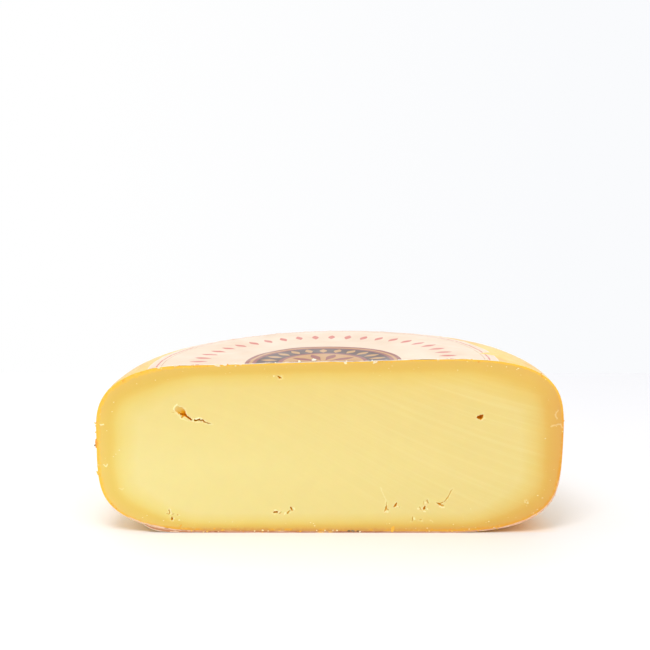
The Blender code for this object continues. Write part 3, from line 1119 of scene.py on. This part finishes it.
label_low, label_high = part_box("label")
LABEL_RADIUS = (label_high.x - label_low.x) / 2
LABEL_SHIFT = (label_high.x + label_low.x) / 2
PAPER = 0.00012
GLUE = 0.00010
LABEL_GRID = 0.0019
FRONT_STEP = 0.00045
RIM_STEP = 0.0016
NOTCH_TURN = math.radians(12)
NOTCH_HALF_WIDTH = math.radians(2.4)
NOTCH_LENGTH = 0.011
FRONT_CURL = 0.0003
PLEATS = 34
PLEAT_HEIGHT = (0.00012, 0.00042)
PLEAT_WIDTH = (0.0012, 0.0022)
CREASE_WIDTH = 0.0016
CREASE_HEIGHT = 0.00032
CREASES = (  # x and y along each fold that the paper took when it was stuck down
    ((-0.112, -0.071), (-0.090, -0.052), (-0.071, -0.046)),
    ((-0.100, -0.030), (-0.078, -0.034), (-0.060, -0.026)),
    ((-0.064, -0.080), (-0.052, -0.066), (-0.047, -0.048)),
    ((0.078, -0.030), (0.092, -0.044), (0.108, -0.050)),
    ((0.030, 0.016), (0.052, 0.006), (0.071, -0.010)),
)
TEARS = (  # x, depth and half width of each tear in the front edge
    (-0.1302, 0.0010, 0.0030),
    (-0.0985, 0.0011, 0.0026),
    (-0.0420, 0.0008, 0.0020),
    (0.0190, 0.0010, 0.0022),
    (0.0605, 0.0009, 0.0030),
    (0.0975, 0.0012, 0.0026),
)
RAGGED = ((0.007, 3.3, 0.00022), (0.0013, 8.1, 0.00020))  # size, start in the noise and depth
FRONT_ROWS = (0.0005, 0.0011, 0.0020)
FRONT_BEHIND = 0.00014
TORN_WIDTH = 0.0006
BARE_RIM = 0.0004
COCKLE_SIZE = 0.009
COCKLE_HEIGHT = 0.00006
FRONT_CURL_REACH = 0.0016

front_x = np.arange(-1, 1.0001, FRONT_STEP / LABEL_RADIUS) * LABEL_RADIUS
ragged_front = np.zeros(len(front_x))
for size, start, depth in RAGGED:
    ragged_front += depth * np.array([noise.noise(Vector((x / size, start, 0))) for x in front_x])
for x, deep, half in TEARS:
    ragged_front += deep * np.exp(-((front_x + LABEL_SHIFT - x) / half) ** 2)
front_y = np.maximum(FACE_Y + FRONT_BEHIND + ragged_front, FACE_Y + 0.00002)
rim_turns = np.arange(0, math.pi, RIM_STEP / LABEL_RADIUS)[1:]
rim_turns = rim_turns[np.abs(rim_turns - NOTCH_TURN) > NOTCH_HALF_WIDTH * 1.05]
notch_turns = NOTCH_TURN + np.linspace(-1, 1, 13) * NOTCH_HALF_WIDTH
rim_turns = np.sort(np.concatenate([rim_turns, notch_turns]))
uneven_rim = np.array([abs(noise.noise(Vector((turn * 40, 5.0, 0)))) for turn in rim_turns])
rim_radius = LABEL_RADIUS * (1 - 0.0012 * uneven_rim)
notch_share = np.clip(1 - np.abs(rim_turns - NOTCH_TURN) / NOTCH_HALF_WIDTH, 0, 1)
rim_radius -= NOTCH_LENGTH * notch_share**0.8
rim = np.stack([rim_radius * np.cos(rim_turns), CUT_Y + rim_radius * np.sin(rim_turns)], axis=1)
rim = rim[rim[:, 1] > front_y.max() + 0.0004]
front = np.stack([front_x, front_y], axis=1)
label_outline = np.concatenate([front, rim]) + (LABEL_SHIFT, 0)

inner_front = [np.stack([front_x[::2], front_y[::2] + step], axis=1) for step in FRONT_ROWS]
inner_label = honeycomb((-LABEL_RADIUS, CUT_Y + 0.0038), (LABEL_RADIUS, CUT_Y + LABEL_RADIUS), LABEL_GRID)
inner_label = np.concatenate([*inner_front, inner_label]) + (LABEL_SHIFT, 0)
inner_label = inner_label[inside_outline(inner_label, label_outline)]
inner_label = inner_label[edge_distance(inner_label, label_outline)[0] > 0.0003]
sheet_places, sheet_triangles, sheet_numbers = filled(label_outline, inner_label)


def ridge(x, y, stations, width):
    """How near each point is to a fold line, from 0 to 1."""
    strokes = [(a, b, 0.00001, 1) for a, b in stations]
    _, off = stroke_reach(x, y, strokes)
    return np.exp(-(np.maximum(off, 0) / width) ** 2)


sheet_x, sheet_y = sheet_places.T
bent = wandered(sheet_x, sheet_y, 0.0022, 0.012)
fold = np.zeros(len(sheet_x))
for stations in CREASES:
    fold = np.maximum(fold, ridge(*bent, stations, CREASE_WIDTH) * 0.8)
fold_draws = random.Random(5)
pleated = np.zeros(len(sheet_x))
sheet_radius = np.hypot(sheet_x - LABEL_SHIFT, sheet_y - CUT_Y)
for number in range(PLEATS):
    turn = math.pi * (number + fold_draws.uniform(0.1, 0.9)) / PLEATS
    far = LABEL_RADIUS * fold_draws.uniform(0.97, 1.02)
    near = LABEL_RADIUS * fold_draws.uniform(0.74, 0.90)
    swerve = fold_draws.uniform(-0.035, 0.035)
    ends = [
        (LABEL_SHIFT + reach * math.cos(angle), CUT_Y + reach * math.sin(angle))
        for reach, angle in ((near, turn + swerve), (far, turn))
    ]
    rise = np.clip((sheet_radius - near) / (far - near), 0, 1)
    height = fold_draws.uniform(*PLEAT_HEIGHT) * ridge(*bent, ends, fold_draws.uniform(*PLEAT_WIDTH)) * rise
    pleated = np.maximum(pleated, height)
lifted = pleated + CREASE_HEIGHT * fold
cockled = np.array([0.5 + noise.noise(Vector((x, y, 2.0)) / COCKLE_SIZE) for x, y in sheet_places])
lifted += COCKLE_HEIGHT * cockled
curled = np.array([noise.noise(Vector((x / COCKLE_SIZE, 1.7, 0.4))) for x in sheet_x])
from_front = np.maximum(sheet_y - FACE_Y, 0)
lifted += FRONT_CURL * np.clip(curled * 2 + 0.2, 0, 1) * np.exp(-(from_front / FRONT_CURL_REACH))
sheet_turn = np.arctan2(sheet_y - CUT_Y, sheet_x - LABEL_SHIFT)
lifted *= np.clip((np.abs(sheet_turn - NOTCH_TURN) / NOTCH_HALF_WIDTH - 1) / 2, 0, 1)

wheel_tree = BVHTree.FromPolygons(wheel_points.tolist(), skin_faces)
under_sheet = []
sheet_normal = []
for x, y in sheet_places:
    above = Vector((x, max(y, FACE_Y + 0.00004), 0.3))
    hit, normal, _, _ = wheel_tree.ray_cast(above, Vector((0, 0, -1)))
    under_sheet.append((x, y, hit.z))
    sheet_normal.append(normal if normal.z > 0 else -normal)
under_sheet = np.array(under_sheet)
sheet_normal = np.array(sheet_normal)
sheet_normal[:, 1] = np.maximum(sheet_normal[:, 1], 0)
thinned = np.array([1.0 if number is None else 0.3 for number in sheet_numbers])
lower = under_sheet + sheet_normal * (GLUE * thinned + np.maximum(lifted, 0))[:, None]
upper = lower + sheet_normal * (PAPER * thinned)[:, None]

from_outline = {source: number for number, source in enumerate(sheet_numbers) if source is not None}
loop = [from_outline[source] for source in range(len(label_outline)) if source in from_outline]
count = len(sheet_places)
sheet_faces = [list(triangle) for triangle in sheet_triangles]
sheet_faces += [[corner + count for corner in reversed(triangle)] for triangle in sheet_triangles]
sheet_faces += [[b, a, a + count, b + count] for a, b in zip(loop, loop[1:] + loop[:1])]
sheet_points = np.concatenate([upper, lower])
label_mesh = turned_out("paper_label", sheet_points, sheet_faces)
label_mesh.set_sharp_from_angle(angle=math.radians(50))
torn = np.exp(-((sheet_y - FACE_Y - 0.0003) / TORN_WIDTH) ** 2)
from_rim = edge_distance(sheet_places, label_outline)[0]
torn = np.maximum(torn, np.exp(-(from_rim / BARE_RIM) ** 2) * 0.6)
store(label_mesh, "torn", np.tile(torn, 2))
store(label_mesh, "creased", np.tile(np.clip(fold * 0.8 + pleated / PLEAT_HEIGHT[1], 0, 1), 2))

label = placed("paper_label", label_mesh)
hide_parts("label")

# the print, rubbed and pale where the paper is creased or torn. A ring is a band between two radii.
MAROON = tint(138, 40, 34)
GOLD = tint(196, 146, 78)
DARK_BROWN = tint(66, 30, 20)
BRICK = tint(206, 92, 74)
SOFT_PRINT = 0.00015
INK_COVER = 0.94
PRINT_WOBBLE = 0.0005

printed_ring, (radius, start, end), leave = shader_group(
    "printed_ring",
    (
        ("Radius", "NodeSocketFloat", 0.0),
        ("From", "NodeSocketFloat", 0.0),
        ("To", "NodeSocketFloat", 0.01),
    ),
    ("Mask", "NodeSocketFloat"),
)
wire(leave, Mask=ramped(end - radius, 0, SOFT_PRINT) * ramped(radius - start, 0, SOFT_PRINT))

tree, shader, place = new_material("printed_paper", label_mesh, Coat_Weight=0.2, Coat_Roughness=0.3)
out_x, out_y, _ = axes(place)
out_x = out_x - LABEL_SHIFT
out_y = out_y - CUT_Y
wobble = (clouded(place, 0.004) - 0.5) * PRINT_WOBBLE
from_centre = maths("SQRT", out_x * out_x + out_y * out_y) + wobble
round_label = maths("ARCTAN2", out_y, out_x)


def ring(start, end):
    inputs = {"Radius": from_centre, "From": start, "To": end}
    return result(tree, "ShaderNodeGroup", {"node_tree": printed_ring}, inputs)


def petals(start, end, number, fullness):
    """A wreath of pointed leaves between two radii."""
    swell = maths("SINE", ramped(from_centre, start, end) * math.pi)
    gap = maths("ABSOLUTE", maths("SINE", round_label * (number / 2)))
    return maths("MULTIPLY", swell * fullness - gap, 30.0, clamp=True) * ring(start, end)


inked = graded(clouded(place, 0.03), ((0.3, tint(226, 200, 172)), (0.7, tint(235, 213, 188))))
for mask, ink in (
    (ring(0.1212, 0.1226), BRICK),
    (ring(0.1180, 0.1187), GOLD),
    (petals(0.0855, 0.1000, 46, 0.62), BRICK),
    (ring(0.0, 0.0575), MAROON),
    (ring(0.0520, 0.0545), GOLD),
    (ring(0.0330, 0.0495), DARK_BROWN),
    (petals(0.0345, 0.0480, 24, 0.75), GOLD),
    (ring(0.0, 0.0300), GOLD),
    (petals(0.0040, 0.0285, 10, 0.80), MAROON),
):
    inked = blended(mask * INK_COVER, inked, ink)
rubbed = graded(clouded(place, 0.005, 8.0, 0.7), ((0.62, 0.0), (0.70, 0.35)))
rubbed = maths("MAXIMUM", rubbed, measured(tree, "creased") * 0.25)
inked = blended(rubbed, inked, tint(244, 230, 210))
inked = blended(measured(tree, "torn"), inked, tint(252, 244, 230))
wire(shader, Base_Color=mottled(place, inked, 0.014, 0.07))
wire(shader, Roughness=graded(clouded(place, 0.02, 4.0), ((0.35, 0.34), (0.7, 0.50))))
add_bump(shader, clouded(place, 0.008, 3.0) + clouded(place, 0.0007) * 0.12, 0.00022, 0.6)


# Crumbs. The wire leaves crumbs of dried paste along the edge and stuck to the face, and a few bigger
# ones roll on to the top. They are a little paler than the face, and dry.

FACE_CRUMBS = (  # x, z and size of each crumb on the face
    (0.0429, 0.1250, 0.0005), (0.0454, 0.1268, 0.0006), (0.0933, 0.1237, 0.0006),
    (0.1179, 0.1264, 0.0007), (0.1289, 0.1262, 0.0007), (0.1375, 0.1250, 0.0009),
    (0.1365, 0.1242, 0.0006), (0.1584, 0.0722, 0.0008), (0.1537, 0.0288, 0.0008),
    (0.1573, 0.0269, 0.0007), (0.1455, 0.0252, 0.0006), (0.1444, 0.0237, 0.0006),
    (0.1466, 0.0229, 0.0007), (0.1537, 0.0180, 0.0006), (0.1510, 0.0154, 0.0006),
    (-0.1587, 0.0994, 0.0007), (-0.1601, 0.0923, 0.0007), (-0.1643, 0.0779, 0.0006),
    (-0.1554, 0.0632, 0.0008), (-0.1580, 0.0602, 0.0006), (-0.1598, 0.0583, 0.0006),
    (-0.1359, 0.0132, 0.0007), (-0.1392, 0.0115, 0.0007), (-0.1237, 0.0092, 0.0008),
    (-0.1120, 0.0100, 0.0006), (-0.0896, 0.0083, 0.0006), (-0.0724, 0.0083, 0.0006),
    (-0.0123, 0.0071, 0.0007), (0.0442, 0.0071, 0.0006), (0.0916, 0.0065, 0.0007),
    (0.1044, 0.0185, 0.0006), (0.1179, 0.0088, 0.0008), (-0.0692, 0.1268, 0.0010),
    (-0.1279, 0.1161, 0.0006), (-0.1416, 0.1135, 0.0005), (-0.1688, 0.0905, 0.0004),
    (-0.0560, 0.0013, 0.0011), (-0.0501, 0.0018, 0.0012), (-0.0460, 0.0012, 0.0009),
    (-0.0114, 0.0053, 0.0009), (-0.0144, 0.0078, 0.0007), (-0.0099, 0.0017, 0.0009),
    (-0.0037, 0.0018, 0.0011), (0.0022, 0.0018, 0.0009), (0.0052, 0.0018, 0.0011),
    (0.0114, 0.1286, 0.0013), (0.0320, 0.1290, 0.0012), (-0.1690, 0.0826, 0.0007),
)
EDGE_CRUMBS = (  # x, distance behind the face and size of each crumb along the top of the cut
    (-0.0225, 0.0012, 0.0017), (-0.0118, 0.0032, 0.0026), (0.0309, 0.0006, 0.0010),
    (0.0501, 0.0004, 0.0008), (-0.0692, 0.0004, 0.0012), (-0.0990, 0.0003, 0.0009),
    (0.0664, 0.0005, 0.0009), (0.0870, 0.0004, 0.0008), (-0.0400, 0.0005, 0.0009),
    (0.0120, 0.0005, 0.0009), (0.1210, 0.0005, 0.0009),
)
LOOSE_CRUMBS = 70
CRUMB_SIZE = (0.00025, 0.0005)
CRUMB_RUN = (0.02, 0.41)
CRUMB_FROM_EDGE = (0.0012, 0.011)

ball = bmesh.new()
bmesh.ops.create_icosphere(ball, subdivisions=2, radius=0.5)
ball_points = np.array([tuple(vertex.co) for vertex in ball.verts])
ball_faces = [[vertex.index for vertex in face.verts] for face in ball.faces]
ball.free()


def crumb(middle, size, flatness, number):
    """A rough crumb: a small ball pushed in and out, lower from front to back than it is wide."""
    lumps = np.array([noise.noise(Vector(point) * 2.6 + Vector((number, 0, 0))) for point in ball_points])
    spin = number * 2.4
    across = ball_points[:, 0] * math.cos(spin) - ball_points[:, 2] * math.sin(spin)
    up = ball_points[:, 0] * math.sin(spin) + ball_points[:, 2] * math.cos(spin)
    rough = np.stack([across * 1.25, ball_points[:, 1] * flatness, up * 0.85], axis=1)
    return np.array(middle) + rough * (1 + 0.7 * lumps)[:, None] * size, ball_faces


label_tree = BVHTree.FromPolygons(sheet_points.tolist(), sheet_faces)


def ground_at(x, y):
    """Height of the label or the bare skin under a place."""
    above, down = Vector((x, y, 0.3)), Vector((0, 0, -1))
    hits = [surface.ray_cast(above, down)[0] for surface in (label_tree, wheel_tree)]
    return max(hit.z for hit in hits if hit)


crumb_draws = random.Random(31)
crumb_parts = []
for number, (x, z, size) in enumerate(FACE_CRUMBS):
    crumb_parts.append((*crumb((x, FACE_Y - 0.00006, z), size, 0.3, number), 0.6))
for number, (x, behind, size) in enumerate(EDGE_CRUMBS):
    y = FACE_Y + behind
    height = ground_at(x, y) + size * 0.30
    crumb_parts.append((*crumb((x, y, height), size, 0.8, number + 50), 1.0))
for number in range(LOOSE_CRUMBS):
    run = crumb_draws.choice((-1, 1)) * crumb_draws.uniform(*CRUMB_RUN)
    edge_place, out_way, _ = on_edge(run)
    x, z = edge_place - out_way * crumb_draws.uniform(*CRUMB_FROM_EDGE)
    size = crumb_draws.uniform(*CRUMB_SIZE)
    crumb_parts.append((*crumb((x, FACE_Y - 0.00004, z), size, 0.35, number + 80), 0.4))
crumb_mesh = joined("paste_crumbs", crumb_parts)
crumb_mesh.polygons.foreach_set("use_smooth", [True] * len(crumb_mesh.polygons))
placed("paste_crumbs", crumb_mesh)

tree, shader, place = new_material(
    "crumbly_paste",
    crumb_mesh,
    Roughness=0.6,
    Subsurface_Weight=0.15,
    Subsurface_Radius=(0.0008, 0.0005, 0.0002),
)
crumb_tone = graded(
    measured(tree, "shade"),
    ((0.3, tint(244, 220, 140)), (0.6, tint(250, 236, 182)), (1.0, tint(253, 247, 230))),
)
wire(shader, Base_Color=mottled(place, crumb_tone, 0.001, 0.12))
add_bump(shader, clouded(place, 0.0003, 3.0), 0.00005, 0.7)


# Fibres and scraps of paper. The wire doesn't cut the label cleanly: it pulls fibres out of the torn
# edge, and leaves small scraps of the paper's white inside hanging over the face.

FIBRES = 46
FIBRE_LENGTH = (0.0010, 0.0042)
FIBRE_RADIUS = 0.00006
FIBRE_STATIONS = 6
FIBRE_RUN = (-0.125, 0.100)
FIBRE_BEHIND = (0.0001, 0.0012)
FIBRE_LIFT = (0.0001, 0.0007)
SCRAPS = (  # x, length and drop of the scraps of paper that hang over the face
    (-0.0822, 0.0050, 0.0014),
    (-0.0768, 0.0030, 0.0009),
    (-0.1255, 0.0030, 0.0007),
    (-0.0655, 0.0022, 0.0006),
    (-0.1130, 0.0036, 0.0006),
    (0.0330, 0.0034, 0.0013),
    (0.0790, 0.0028, 0.0006),
    (0.0112, 0.0030, 0.0012),
)

fibre_draws = random.Random(47)
paper_parts = []
for _ in range(FIBRES):
    x = fibre_draws.uniform(*FIBRE_RUN)
    y = FACE_Y + fibre_draws.uniform(*FIBRE_BEHIND)
    length = fibre_draws.uniform(*FIBRE_LENGTH)
    heading = fibre_draws.choice((0, math.pi)) + fibre_draws.gauss(0, 0.5)
    lift = fibre_draws.uniform(*FIBRE_LIFT)
    fibre_points = []
    for station in range(FIBRE_STATIONS):
        share = station / (FIBRE_STATIONS - 1)
        bend = heading + 0.9 * math.sin(share * 2.6 + x * 900)
        px = x + length * share * math.cos(bend)
        py = max(y + length * share * 0.3 * math.sin(bend), CUT_Y + 0.0001)
        pz = ground_at(px, max(py, FACE_Y + 0.0001)) + 0.00004 + lift * math.sin(math.pi * share * 0.8)
        thick = FIBRE_RADIUS * (1 - 0.6 * share)
        for side in range(4):
            turn = side * math.pi / 2
            fibre_points.append((px, py + thick * math.cos(turn), pz + thick * math.sin(turn)))
    paper_parts.append((fibre_points, strip_faces(FIBRE_STATIONS), 1.0))
for x, length, drop in SCRAPS:
    height = ground_at(x, FACE_Y + 0.0003) - drop * 0.35
    paper_parts.append((*flake((x, height), length, drop * 1.7, 0, fibre_draws), 0.4))
fibre_mesh = joined("paper_fibres", paper_parts)
placed("paper_fibres", fibre_mesh)

tree, shader, place = new_material("raw_paper", fibre_mesh, Roughness=0.8)
raw_tone = graded(measured(tree, "shade"), ((0.4, tint(246, 226, 190)), (1.0, tint(253, 248, 240))))
wire(shader, Base_Color=mottled(place, raw_tone, 0.002, 0.08))
add_bump(shader, clouded(place, 0.0003), 0.00004, 0.5)


# The table and the light. A white sheet under the cheese, one big soft lamp high in front and a
# little to the left, a weaker one at the right, and a white room that glows most at the back.

TABLE_BACK = 0.47
TABLE_REACH = 5.0
LAMPS = (  # name, place, size and power
    ("front_light", (-0.32, -1.25, 2.00), (0.9, 0.8), 19.5),
    ("side_light", (0.8, -1.4, 1.5), (1.4, 0.9), 6),
)
LAMP_AIM = Vector((0, -0.05, 0.05))
ROOM_GLOW = (0.64, 1.22)  # in front and at the back

table_mesh = bpy.data.meshes.new("table")
table_corners = [
    (-TABLE_REACH, -TABLE_REACH, 0),
    (TABLE_REACH, -TABLE_REACH, 0),
    (TABLE_REACH, TABLE_BACK, 0),
    (-TABLE_REACH, TABLE_BACK, 0),
]
table_mesh.from_pydata(table_corners, [], [(0, 1, 2, 3)])
tree, shader, place = new_material("white_table", table_mesh, Roughness=0.7, Specular_IOR_Level=0.2)
rightwards, behind, _ = axes(place)
# the table is painted a shade darker towards the right, where the light falls off
table_shade = graded(ramped(rightwards, -0.25, 0.25), ((0.0, tint(251, 251, 253)), (1.0, tint(241, 241, 244))))
table_shade = mottled(place, table_shade, 0.3, 0.02)

# the cheese's own warm light on the table under it, mostly at the right
behind_cut = behind - CUT_Y
from_middle = maths("SQRT", rightwards * rightwards + behind_cut * behind_cut)
under_wheel = ramped(from_middle, WHEEL_RADIUS, WHEEL_RADIUS - 0.03) * ramped(behind_cut, 0, 0.005)
warmed = under_wheel * ramped(rightwards, -0.125, 0.125)
wire(shader, Base_Color=blended(warmed, table_shade, tint(252, 228, 208)))
table = bpy.data.objects.new("table", table_mesh)
bpy.context.scene.collection.objects.link(table)

for name, lamp_place, size, power in LAMPS:
    lamp_data = bpy.data.lights.new(name, "AREA")
    lamp_data.shape = "RECTANGLE"
    lamp_data.size, lamp_data.size_y = size
    lamp_data.energy = power
    lamp = bpy.data.objects.new(name, lamp_data)
    lamp.location = lamp_place
    lamp.rotation_euler = (LAMP_AIM - Vector(lamp_place)).to_track_quat("-Z", "Y").to_euler()
    lamp.visible_camera = False
    bpy.context.scene.collection.objects.link(lamp)

world = bpy.data.worlds.new("white_room")
bpy.context.scene.world = world
world.use_nodes = True
room = world.node_tree
room.nodes.clear()
rightwards, backwards, _ = axes(result(room, "ShaderNodeTexCoord", output="Generated"))
glow = result(
    room,
    "ShaderNodeMapRange",
    {"interpolation_type": "SMOOTHSTEP"},
    {
        "Value": backwards - rightwards * 0.35,
        "From Min": -0.3,
        "From Max": 0.9,
        "To Min": ROOM_GLOW[0],
        "To Max": ROOM_GLOW[1],
    },
)
lighting = result(room, "ShaderNodeBackground", (), {"Color": (1, 1, 1, 1), "Strength": glow})
# the backdrop is painted a shade darker towards the right, where the light falls off
wall = graded(ramped(rightwards, -0.125, 0.125), ((0.0, tint(255, 255, 255)), (1.0, tint(250, 251, 253))))
backdrop = result(room, "ShaderNodeBackground", (), {"Color": wall, "Strength": 1.0})
seen = result(room, "ShaderNodeLightPath", output="Is Camera Ray")
both = result(room, "ShaderNodeMixShader", (), {0: seen, 1: lighting, 2: backdrop})
put(room, "ShaderNodeOutputWorld", (), {"Surface": both})
bpy.context.scene.view_settings.view_transform = "Standard"


# The camera stands in front of the cut face and looks down on it a little. Its place, its lens and
# its aim were fitted, so that the corners of the cheese fall where they fall in the photograph.

CAMERA_REACH = 8 * WHEEL_RADIUS
CAMERA_RISE = math.radians(14.7)
AIM = Vector((0, CUT_Y, 0.37 * WHEEL_RADIUS))
FRAME_WIDTH = 650
FOCAL_PIXELS = 1863
AIM_PIXEL = (330.2, 449.8)
SENSOR_WIDTH = 36

camera_data = bpy.data.cameras.new("camera")
camera_data.sensor_width = SENSOR_WIDTH
camera_data.lens = FOCAL_PIXELS / FRAME_WIDTH * SENSOR_WIDTH
camera = bpy.data.objects.new("camera", camera_data)
bpy.context.scene.collection.objects.link(camera)
towards_camera = Vector((0, -math.cos(CAMERA_RISE), math.sin(CAMERA_RISE)))
camera.location = AIM + towards_camera * CAMERA_REACH
look_down = CAMERA_RISE - math.atan((AIM_PIXEL[1] - FRAME_WIDTH / 2) / FOCAL_PIXELS)
look_aside = math.atan((AIM_PIXEL[0] - FRAME_WIDTH / 2) / FOCAL_PIXELS)
camera.rotation_euler = (math.pi / 2 - look_down, 0, look_aside)
bpy.context.scene.camera = camera
